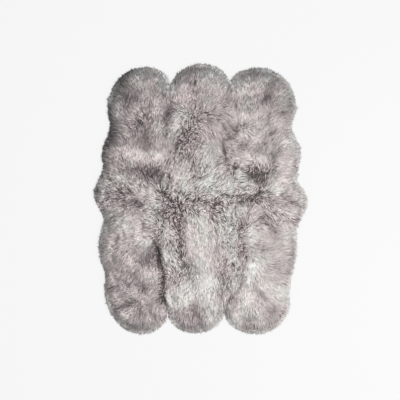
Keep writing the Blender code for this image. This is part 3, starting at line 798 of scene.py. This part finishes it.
def closedBody(name, form, tops, bottoms):  # a closed skin over a crown's grid, and which faces grow wool
    count = len(form.verts)
    faces = [[v.index for v in f.verts] for f in form.faces]
    grows = [True] * len(faces)
    faces += [[count + v.index for v in reversed(f.verts)] for f in form.faces]
    grows += [False] * len(form.faces)
    for edge in form.edges:
        if edge.is_boundary:
            loop = edge.link_loops[0]
            a, b = loop.vert.index, loop.link_loop_next.vert.index
            faces.append([a, count + a, count + b, b])
            grows.append(not edgeIsSewn(name, edge))
    mesh = bpy.data.meshes.new(name)
    mesh.from_pydata(np.concatenate([tops, bottoms]).tolist(), [], faces)
    mesh.validate()
    mesh.shade_smooth()
    return mesh, grows


def skinOf(name, form):  # the scalp's skin over a crown's grid, and its places and heights
    crown = np.array([v.co for v in form.verts])
    plan = drawnIn(crown[:, :2], scalpForm["inset"], scalpForm["insetOver"])
    heights = crown[:, 2] * scalpForm["share"]
    low = np.full(len(plan), scalpForm["underside"])
    mesh, grows = closedBody(name, form, np.column_stack([plan, heights]), np.column_stack([plan, low]))
    return mesh, grows, plan, heights


def writeAttribute(mesh, name, kind, domain, values):
    attribute = mesh.attributes.new(name, kind, domain)
    attribute.data.foreach_set("vector" if kind == "FLOAT_VECTOR" else "value", np.asarray(values).ravel())


def scalpOf(name):
    form = crowns[name].copy()
    refine(form)
    mesh, grows, plan, heights = skinOf(name, form)
    comb = combOf(name, form, plan, heights)
    rise = np.maximum(comb["rise"] + heights - scalpForm["underside"], scalpForm["leastRise"])
    for label, values in comb.items():
        walls = rise * scalpForm["wallRise"] if label == "rise" else values
        kind = "FLOAT_VECTOR" if label == "lean" else "FLOAT"
        writeAttribute(mesh, label, kind, "POINT", np.concatenate([values, walls]))
    writeAttribute(mesh, "growing", "BOOLEAN", "FACE", grows)
    form.free()
    return mesh


scalps = {name: scalpOf(name) for name in peltNames}
print("scalps combed:", {name: len(mesh.polygons) for name, mesh in scalps.items()})


# The wool itself, as tapered locks drawn together into staples

lockForm = {
    "Lock Density": 37000.0,  # to the square metre
    "Staple Spacing": 0.0065,
    "Staple Density": 30000.0,  # before the spacing thins them out
    "Tuft Spacing": 0.0170,  # of the pointed tufts where the wool is shaggy
    "Tuft Density": 8000.0,
    "Sides": 3,
    "Segments": 2,
    "Lock Girth": 0.0034,  # half the width at the root
    "Girth Spread": 0.25,
    "Belly": 1.1,  # how much wider it would grow, if it didn't taper
    "Smooth Thickness": 0.32,  # of the width, where the wool is smooth
    "Thickness": 0.6,  # and where it is shaggy
    "Smooth Roll": 0.15,
    "Lock Roll": 0.7,
    "Shaggy From": 0.3,  # shag at which these two reach their second value
    "Length": 0.94,  # of the lean that it was combed with
    "Staple Length": 0.16,  # spread of that from staple to staple
    "Lock Length": 0.12,  # and from lock to lock
    "Bend": 0.32,  # where the lock stops rising, as a share of its lean
    "Arch": 1.35,  # how soon it rises, as a share of its rise
    "Root Lift": 0.004,  # it starts out square to the skin
    "Sway": 0.0015,
    "Smooth Clump": 0.25,  # share of the way that a tip is drawn to its staple, where the wool is smooth
    "Staple Clump": 0.65,  # and where it isn't
    "Tuft Clump": 0.70,  # and, where the wool is shaggy, to its tuft
    "Tuft Firmness": 0.65,
    "Firmness Spread": 0.35,
    "Tuft Ragged": 0.006,  # how far a lock strays to another tuft
    "Staple Turn": 0.10,
    "Lock Turn": 0.05,
    "Tuft Turn": 0.50,
    "Loose Turn": 0.35,
    "Staple Rise": 0.004,
    "Lock Rise": 0.0015,
    "Tuft Rise": 0.004,
    "Smooth Spread": 0.15,  # share of the spreads of rise and tone, where the wool is smooth
    "Shaggy Spread": 1.8,  # more of them where it is shaggy
    "Staple Tone": 0.20,
    "Lock Tone": 0.54,
    "Tuft Tone": 0.10,
    "Gap Share": 0.18,  # of the staples lie low as gaps in the wool, darkened with painted shade
    "Dark Gaps": 0.5,  # more of them where the wool is dark
    "Dark Below": 0.5,
    # painted shade on the staples in the gaps
    "Gap Painted Shade": 0.62,
    "Gap Depth": 0.004,
    "Smooth Gaps": 0.15,  # how far they open and how much painted shade they take, where the wool is smooth
    "Shaggy Gaps": 0.85,  # and how much further where it is shaggy
    "Seed": 5,
}
seedStep = 10  # from pelt to pelt

# The locks' own map: U is a band of tint and, within it, the tone; V runs from root to tip
uvForm = {
    "bands": 6.0,
    "toneStart": 0.06,
    "toneSpan": 0.88,
    "across": 0.024,
    "alongStart": 0.02,
    "alongSpan": 0.95,
    "thick": 0.008,
}
lockValues = {"root": "FLOAT_VECTOR", "stem": "FLOAT_VECTOR", "tip": "FLOAT_VECTOR", "shade": "FLOAT",
              "band": "FLOAT", "girth": "FLOAT", "roll": "FLOAT", "thickness": "FLOAT"}
scaffold = (*lockValues, "along", "ring", "lean", "rise", "tone", "shag", "tint", "growing")


def plantLocks(tree, given):  # points at the roots, each with its lock's curve, size and shade
    position = put(tree, "GeometryNodeInputPosition").outputs[0]
    leaning, shag = named(tree, "lean", "FLOAT_VECTOR"), named(tree, "shag")
    growing = named(tree, "growing", "BOOLEAN")

    def scattered(method, inputs):
        inputs = {"Mesh": given["Scalp"], "Selection": growing, "Seed": given["Seed"]} | inputs
        return put(tree, "GeometryNodeDistributePointsOnFaces", inputs, distribute_method=method).outputs

    def spaced(kind):  # points that keep their distance, for the staples or the tufts
        inputs = {"Distance Min": given[kind + " Spacing"], "Density Max": given[kind + " Density"]}
        return scattered("POISSON", inputs)["Points"]

    def nearestOf(points, place):
        inputs = {"Geometry": points, "Sample Position": place}
        return put(tree, "GeometryNodeSampleNearest", inputs).outputs[0]

    def read(points, index, value):
        inputs = {"Geometry": points, "Value": value, "Index": index}
        settings = {"data_type": "FLOAT_VECTOR", "domain": "POINT"}
        return put(tree, "GeometryNodeSampleIndex", inputs, **settings).outputs[0]

    def blend(share, first, second):
        return put(tree, "ShaderNodeMix", {0: share, 4: first, 5: second}, data_type="VECTOR").outputs[1]

    def randomly(half, seed, ident=None):  # a number from -half to half for each lock, or for each ident
        inputs = {2: -1.0, 3: 1.0, "ID": ident, "Seed": seed}
        return times(put(tree, "FunctionNodeRandomValue", inputs, data_type="FLOAT").outputs[1], half)

    def combed(smooth, shaggy):  # from one given value, where the wool is smooth, to another
        return remap(shag, 0.0, given["Shaggy From"], given[smooth], given[shaggy])

    staples, tufts = spaced("Staple"), spaced("Tuft")
    spread = scattered("RANDOM", {"Density": given["Lock Density"], "Seed": plus(given["Seed"], 1.0)})
    ragged = given["Tuft Ragged"]
    strayed = steer("ADD", position, joined(tree, X=randomly(ragged, 27), Y=randomly(ragged, 28)))
    staple, tuft = nearestOf(staples, position), nearestOf(tufts, strayed)
    firmness = plus(given["Tuft Firmness"], randomly(given["Firmness Spread"], 29, tuft))
    clump = times(shag, times(given["Tuft Clump"], firmness))
    wildness = timesPlus(shag, given["Shaggy Spread"], given["Smooth Spread"])

    turn = plus(randomly(given["Staple Turn"], 11, staple), randomly(given["Lock Turn"], 12))
    turn = timesPlus(randomly(given["Tuft Turn"], 24, tuft), shag, turn)
    turn = timesPlus(randomly(given["Loose Turn"], 30), shag, turn)
    length = plus(given["Length"], randomly(given["Staple Length"], 13, staple))
    length = plus(length, randomly(given["Lock Length"], 14))
    lean = scaled(rolled(blend(clump, leaning, read(tufts, tuft, leaning)), turn), length)

    darkness = calc("MAXIMUM", minus(given["Dark Below"], named(tree, "tone")), 0.0)
    share = timesPlus(darkness, given["Dark Gaps"], given["Gap Share"])
    gap = calc("LESS_THAN", plus(randomly(0.5, 31, staple), 0.5), share)
    gap = times(gap, timesPlus(shag, given["Shaggy Gaps"], given["Smooth Gaps"]))

    height = timesPlus(randomly(given["Staple Rise"], 15, staple), wildness, named(tree, "rise"))
    height = timesPlus(randomly(given["Tuft Rise"], 25, tuft), shag, height)
    height = plus(height, randomly(given["Lock Rise"], 16))
    rise = joined(tree, Z=minus(height, times(gap, given["Gap Depth"])))
    toStaple = steer("SUBTRACT", read(staples, staple, position), position)
    toStaple = scaled(toStaple, combed("Smooth Clump", "Staple Clump"))
    toTuft = steer("SUBTRACT", read(tufts, tuft, position), position)
    tip = total(position, blend(clump, toStaple, toTuft), lean, rise)
    sway = joined(tree, X=randomly(given["Sway"], 17), Y=randomly(given["Sway"], 18))
    square = scaled(spread["Normal"], given["Root Lift"])
    stem = total(position, scaled(lean, given["Bend"]), scaled(rise, given["Arch"]), square, sway)

    change = plus(randomly(given["Staple Tone"], 19, staple), randomly(given["Lock Tone"], 20))
    shade = timesPlus(change, wildness, named(tree, "tone"))
    shade = timesPlus(randomly(given["Tuft Tone"], 26, tuft), shag, shade)
    # painted shade: the staples in the gaps are darkened
    shade = minus(shade, times(gap, given["Gap Painted Shade"]))
    lastBand = uvForm["bands"] - 1.0
    band = calc("ROUND", plus(times(named(tree, "tint"), lastBand), randomly(0.5, 23)))
    band = calc("MINIMUM", calc("MAXIMUM", band, 0.0), lastBand)
    girth = times(given["Lock Girth"], plus(1.0, randomly(given["Girth Spread"], 21)))
    roll = times(randomly(1.0, 22), combed("Smooth Roll", "Lock Roll"))
    values = (position, stem, tip, shade, band, girth, roll, combed("Smooth Thickness", "Thickness"))
    locks = spread["Points"]
    for (label, kind), value in zip(lockValues.items(), values):
        locks = keep(locks, label, value, kind)
    return locks


def shapeLocks(tree, given, locks):  # a slender cone on each root, bent along its lock's curve
    inputs = {"Vertices": given["Sides"], "Side Segments": given["Segments"], "Radius Top": 0.0,
              "Radius Bottom": 1.0, "Depth": 1.0}
    cone = put(tree, "GeometryNodeMeshCone", inputs, fill_type="NGON").outputs["Mesh"]
    place = split(put(tree, "GeometryNodeInputPosition").outputs[0])
    cone = keep(cone, "along", place["Z"])
    cone = keep(cone, "ring", joined(tree, X=place["Y"], Y=place["X"]), "FLOAT_VECTOR")
    wool = put(tree, "GeometryNodeInstanceOnPoints", {"Points": locks, "Instance": cone}).outputs[0]
    wool = put(tree, "GeometryNodeRealizeInstances", {"Geometry": wool}).outputs[0]

    along = named(tree, "along")
    left = minus(1.0, along)
    root, stem, tip = (named(tree, label, "FLOAT_VECTOR") for label in ("root", "stem", "tip"))
    curve = total(scaled(root, times(left, left)), scaled(stem, times(times(along, left), 2.0)),
                  scaled(tip, times(along, along)))
    first = scaled(steer("SUBTRACT", stem, root), left)
    second = scaled(steer("SUBTRACT", tip, stem), along)
    tangent = steer("NORMALIZE", steer("ADD", first, second))
    flat = steer("CROSS_PRODUCT", tuple(up), steer("SUBTRACT", tip, root))
    back = steer("NORMALIZE", steer("CROSS_PRODUCT", tangent, steer("NORMALIZE", flat)))
    side = steer("NORMALIZE", steer("CROSS_PRODUCT", back, tangent))
    ring = split(rolled(named(tree, "ring", "FLOAT_VECTOR"), named(tree, "roll")))
    width = times(named(tree, "girth"), plus(1.0, times(along, given["Belly"])))
    thick = times(times(ring["Y"], width), named(tree, "thickness"))
    body = total(curve, scaled(side, times(ring["X"], width)), scaled(back, thick))
    body = steer("MAXIMUM", body, (-faraway, -faraway, woolForm["lowest"]))
    body = steer("MINIMUM", body, (faraway, faraway, woolForm["highest"]))
    wool = put(tree, "GeometryNodeSetPosition", {"Geometry": wool, "Position": body}).outputs[0]
    return wool, along, ring


def mapLocks(tree, wool, along, ring):
    shade = put(tree, "ShaderNodeClamp", {"Value": named(tree, "shade")}).outputs[0]
    u = timesPlus(ring["X"], uvForm["across"], timesPlus(shade, uvForm["toneSpan"], uvForm["toneStart"]))
    u = calc("DIVIDE", plus(u, named(tree, "band")), uvForm["bands"])
    v = timesPlus(along, uvForm["alongSpan"], uvForm["alongStart"])
    v = timesPlus(ring["Y"], uvForm["thick"], v)
    return keep(wool, "OFBake", joined(tree, X=u, Y=v), "FLOAT2", "CORNER")


def woolTree():
    sizes = {label: "Int" if isinstance(value, int) else "Float" for label, value in lockForm.items()}
    sockets = {"Scalp": "Geometry", "Material": "Material"} | sizes
    tree, given, end = newGroup("combedWool", "GeometryNodeTree", sockets, {"Geometry": "Geometry"})
    wool = mapLocks(tree, *shapeLocks(tree, given, plantLocks(tree, given)))
    wool = put(tree, "GeometryNodeSetShadeSmooth", {"Geometry": wool}).outputs[0]
    wool = put(tree, "GeometryNodeSetMaterial", {"Geometry": wool, "Material": given["Material"]}).outputs[0]
    fill(tree, end, {"Geometry": wool})
    return tree


# Materials

hideLook = {
    "colours": ((0.32, (0.34, 0.272, 0.215)), (0.68, (0.46, 0.385, 0.315))),
    "mottle": {"Scale": 9.0, "Detail": 5.0},
    "grain": {"Scale": 420.0, "Detail": 3.0, "Dark": 0.86, "Pale": 1.10},  # its nap
    "bump": {"Strength": 0.35, "Distance": 0.0006},
    "roughness": (0.82, 0.95),
    "finish": {"Sheen Weight": 0.25},
}
noiseEnds = (0.3, 0.7)  # nearly all of a noise texture lies between these


def newMaterial(name):
    material = bpy.data.materials.new(name)
    material.use_nodes = True
    tree = material.node_tree
    return material, tree, tree.nodes["Principled BSDF"]


def ramp(tree, factor, stops):
    node = put(tree, "ShaderNodeValToRGB", {"Fac": factor})
    points = node.color_ramp.elements
    while len(points) < len(stops):
        points.new(0.5)
    for point, (place, colour) in zip(points, stops):
        point.position = place
        point.color = (*colour, 1)
    return node.outputs["Color"]


def multiplied(tree, first, second):
    inputs = {0: 1.0, 6: first, 7: second}
    return put(tree, "ShaderNodeMix", inputs, data_type="RGBA", blend_type="MULTIPLY").outputs[2]


def grainGroup():  # fine streaks or nap: darkens and lightens a colour, and gives the height for a bump
    sockets = {"Colour": "Color", "Vector": "Vector", "Scale": "Float", "Detail": "Float", "Dark": "Float",
               "Pale": "Float"}
    group, given, end = newGroup("grain", "ShaderNodeTree", sockets, {"Colour": "Color", "Height": "Float"})
    inputs = {label: given[label] for label in ("Vector", "Scale", "Detail")}
    fine = put(group, "ShaderNodeTexNoise", inputs).outputs[0]
    gain = remap(fine, *noiseEnds, given["Dark"], given["Pale"])
    grey = joined(group, X=gain, Y=gain, Z=gain)
    fill(group, end, {"Colour": multiplied(group, given["Colour"], grey), "Height": fine})
    return group


def grained(tree, colour, vector, look):
    node = put(tree, "ShaderNodeGroup", {"Colour": colour, "Vector": vector} | look["grain"], node_tree=grain)
    bump = {"Height": node.outputs["Height"]} | look["bump"]
    return {"Base Color": node.outputs["Colour"], "Normal": put(tree, "ShaderNodeBump", bump).outputs[0]}


def woolMaterial():  # reads only the locks' own map
    material, tree, shader = newMaterial("combed wool")
    uv = put(tree, "ShaderNodeUVMap", uv_map="OFBake").outputs[0]
    axes = split(uv)
    place = times(axes["X"], uvForm["bands"])
    tint = calc("DIVIDE", calc("FLOOR", place), uvForm["bands"] - 1)
    tone = remap(calc("FRACT", place), uvForm["toneStart"], uvForm["toneStart"] + uvForm["toneSpan"])
    dark, pale = (ramp(tree, axes["Y"], woolLook[key]) for key in ("dark", "pale"))
    colour = put(tree, "ShaderNodeMix", {0: tone, 6: dark, 7: pale}, data_type="RGBA").outputs[2]
    tints = ((0, woolLook["mauve"]), (woolLook["silverAt"], woolLook["silver"]), (1, woolLook["cool"]))
    colour = multiplied(tree, colour, ramp(tree, tint, tints))
    strands = put(tree, "ShaderNodeMapping", {"Vector": uv, "Scale": woolLook["strands"]}).outputs[0]
    fill(tree, shader, grained(tree, colour, strands, woolLook) | woolLook["finish"])
    return material


def hideMaterial():  # suede: cloudy colour and a fine nap
    material, tree, shader = newMaterial("suede hide")
    place = put(tree, "ShaderNodeTexCoord").outputs["Object"]
    clouds = put(tree, "ShaderNodeTexNoise", {"Vector": place} | hideLook["mottle"]).outputs[0]
    colour = ramp(tree, clouds, hideLook["colours"])
    fill(tree, shader, grained(tree, colour, place, hideLook) | hideLook["finish"])
    fill(tree, shader, {"Roughness": remap(clouds, *noiseEnds, *hideLook["roughness"])})
    return material


grain = grainGroup()
wool, suede = woolMaterial(), hideMaterial()
print("materials mixed:", wool.name, "and", suede.name)


# The pieces of each pelt

hideForm = {
    "top": 0.0028,
    "under": 0.0008,
    "inset": 0.016,  # behind the crown's free rim, where the wool overhangs it
    "insetOver": 0.070,
    "wave": 0.0004,
    "waveSize": 0.09,
    "waveShift": 3.3,
}
undercoatForm = {
    "tone": 0.8,  # of the wool's
    "along": 0.10,  # place between root and tip that it is coloured as
    "alongNoise": 0.05,
    "noiseSize": 0.012,
    "noiseShift": 7.7,
    "alongEnds": (0.03, 0.3),
}


def hideOf(name):
    form = crowns[name]
    crown = np.array([v.co for v in form.verts])
    plan = drawnIn(crown[:, :2], hideForm["inset"], hideForm["insetOver"])
    wave = hideForm["wave"] * fractal(plan, hideForm["waveSize"], hideForm["waveShift"])
    tops, unders = (np.column_stack([plan, hideForm[key] + wave]) for key in ("top", "under"))
    mesh, _ = closedBody(name, form, tops, unders)
    mesh.materials.append(suede)
    area = sum(p.area for p in list(mesh.polygons)[: len(form.faces)])
    size = plan.max(axis=0) - plan.min(axis=0)
    return placed(name.replace("pelt", "hide"), mesh), size, area


def undercoatOf(name):  # a coarser scalp as a piece of its own, in the same wool, close to its roots
    scalp = scalps[name]
    mesh, _, plan, _ = skinOf(name, crowns[name])
    roots = planTree([v.co for v in scalp.vertices[: len(scalp.vertices) // 2]])
    near = [roots.find(inPlan(point))[1] for point in plan] * 2
    read = {label: scalp.attributes[label].data for label in ("tone", "tint")}
    tones, tints = (np.array([values[i].value for i in near]) for values in read.values())
    ends = np.zeros(len(mesh.loops), dtype=int)
    mesh.loops.foreach_get("vertex_index", ends)
    faceOf = np.repeat(np.arange(len(mesh.polygons)), [p.loop_total for p in mesh.polygons])
    firsts = np.array([p.vertices[0] for p in mesh.polygons])
    bands = np.round(tints[firsts] * (uvForm["bands"] - 1))[faceOf]
    tones = uvForm["toneStart"] + uvForm["toneSpan"] * undercoatForm["tone"] * tones[ends]
    u = (bands + tones) / uvForm["bands"]
    uneven = fractal(np.concatenate([plan, plan]), undercoatForm["noiseSize"], undercoatForm["noiseShift"])
    along = undercoatForm["along"] + undercoatForm["alongNoise"] * uneven
    v = np.clip(along, *undercoatForm["alongEnds"])[ends]
    layer = mesh.uv_layers.new(name="OFBake")
    layer.data.foreach_set("uv", np.column_stack([u, v]).ravel())
    mesh.materials.append(wool)
    return placed(name.replace("pelt", "undercoat"), mesh)


tree = woolTree()
for index, name in enumerate(peltNames):
    hide, size, area = hideOf(name)
    undercoat = undercoatOf(name)
    values = lockForm | {"Seed": lockForm["Seed"] + seedStep * index, "Material": wool}
    locks = grown(name.replace("pelt", "wool"), scalps[name], tree, values, scaffold)
    for piece, slot in ((hide, "hide"), (undercoat, "wool"), (locks, "wool")):
        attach(piece, "root")
        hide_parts(name)
    print(name, "grown:", len(locks.data.polygons), "faces; hide", size.round(3), "m,", round(area, 3), "m2")


# Floor, light and camera

studio = {
    "floorSize": 80.0,
    "floor": (0.05, 0.05, 0.05, 1.0),
    "floorRoughness": 0.9,
    "floorGlow": 0.812,
    "world": 0.55,
    "worldTint": (0.96, 0.985, 1.0, 1.0),
    "cameraHeight": 6.0,
    "frameWidth": 2.732,  # of the picture, on the rug
    "frameMiddle": (0.0, -0.0045),
    "sensor": 36.0,
}
# Soft boxes: where each hangs, what it points at, its size and power
Lamp = namedtuple("Lamp", "name place aim size power tint")
lamps = (
    Lamp("key", (3.5, -1.5, 3.5), (0.0, 0.0, 0.0), 2.4, 220.0, (1.0, 0.99, 0.98)),
    Lamp("overhead", (0.4, 0.0, 7.5), (0.0, 0.0, 0.0), 4.0, 520.0, (1.0, 1.0, 1.0)),
)


def layFloor():
    form = bmesh.new()
    bmesh.ops.create_grid(form, x_segments=1, y_segments=1, size=studio["floorSize"])
    mesh = bpy.data.meshes.new("floor")
    form.to_mesh(mesh)
    form.free()
    material, tree, shader = newMaterial("pale floor")
    fill(tree, shader, {"Base Color": studio["floor"], "Roughness": studio["floorRoughness"],
                        "Emission Color": (1, 1, 1, 1), "Emission Strength": studio["floorGlow"]})
    mesh.materials.append(material)
    floor = placed("floor", mesh)
    floor.visible_diffuse = False  # its glow is for the eye, and doesn't light the wool from below


def hangLamps():
    for lamp in lamps:
        light = bpy.data.lights.new(lamp.name, "AREA")
        light.size = lamp.size
        light.energy = lamp.power
        light.color = lamp.tint
        thing = bpy.data.objects.new(lamp.name, light)
        bpy.context.scene.collection.objects.link(thing)
        thing.location = lamp.place
        thing.rotation_euler = (Vector(lamp.aim) - Vector(lamp.place)).to_track_quat("-Z", "Y").to_euler()
    world = bpy.data.worlds.new("studio")
    world.use_nodes = True
    sky = {"Color": studio["worldTint"], "Strength": studio["world"]}
    fill(world.node_tree, world.node_tree.nodes["Background"], sky)
    bpy.context.scene.world = world


def setCamera():
    camera = bpy.data.cameras.new("camera")
    camera.sensor_width = studio["sensor"]
    camera.lens = studio["sensor"] * studio["cameraHeight"] / studio["frameWidth"]
    thing = bpy.data.objects.new("camera", camera)
    bpy.context.scene.collection.objects.link(thing)
    thing.location = (*studio["frameMiddle"], studio["cameraHeight"])
    bpy.context.scene.camera = thing


layFloor()
hangLamps()
setCamera()
bpy.context.scene.view_settings.view_transform = "Standard"
print("studio set:", len(lamps), "lamps")
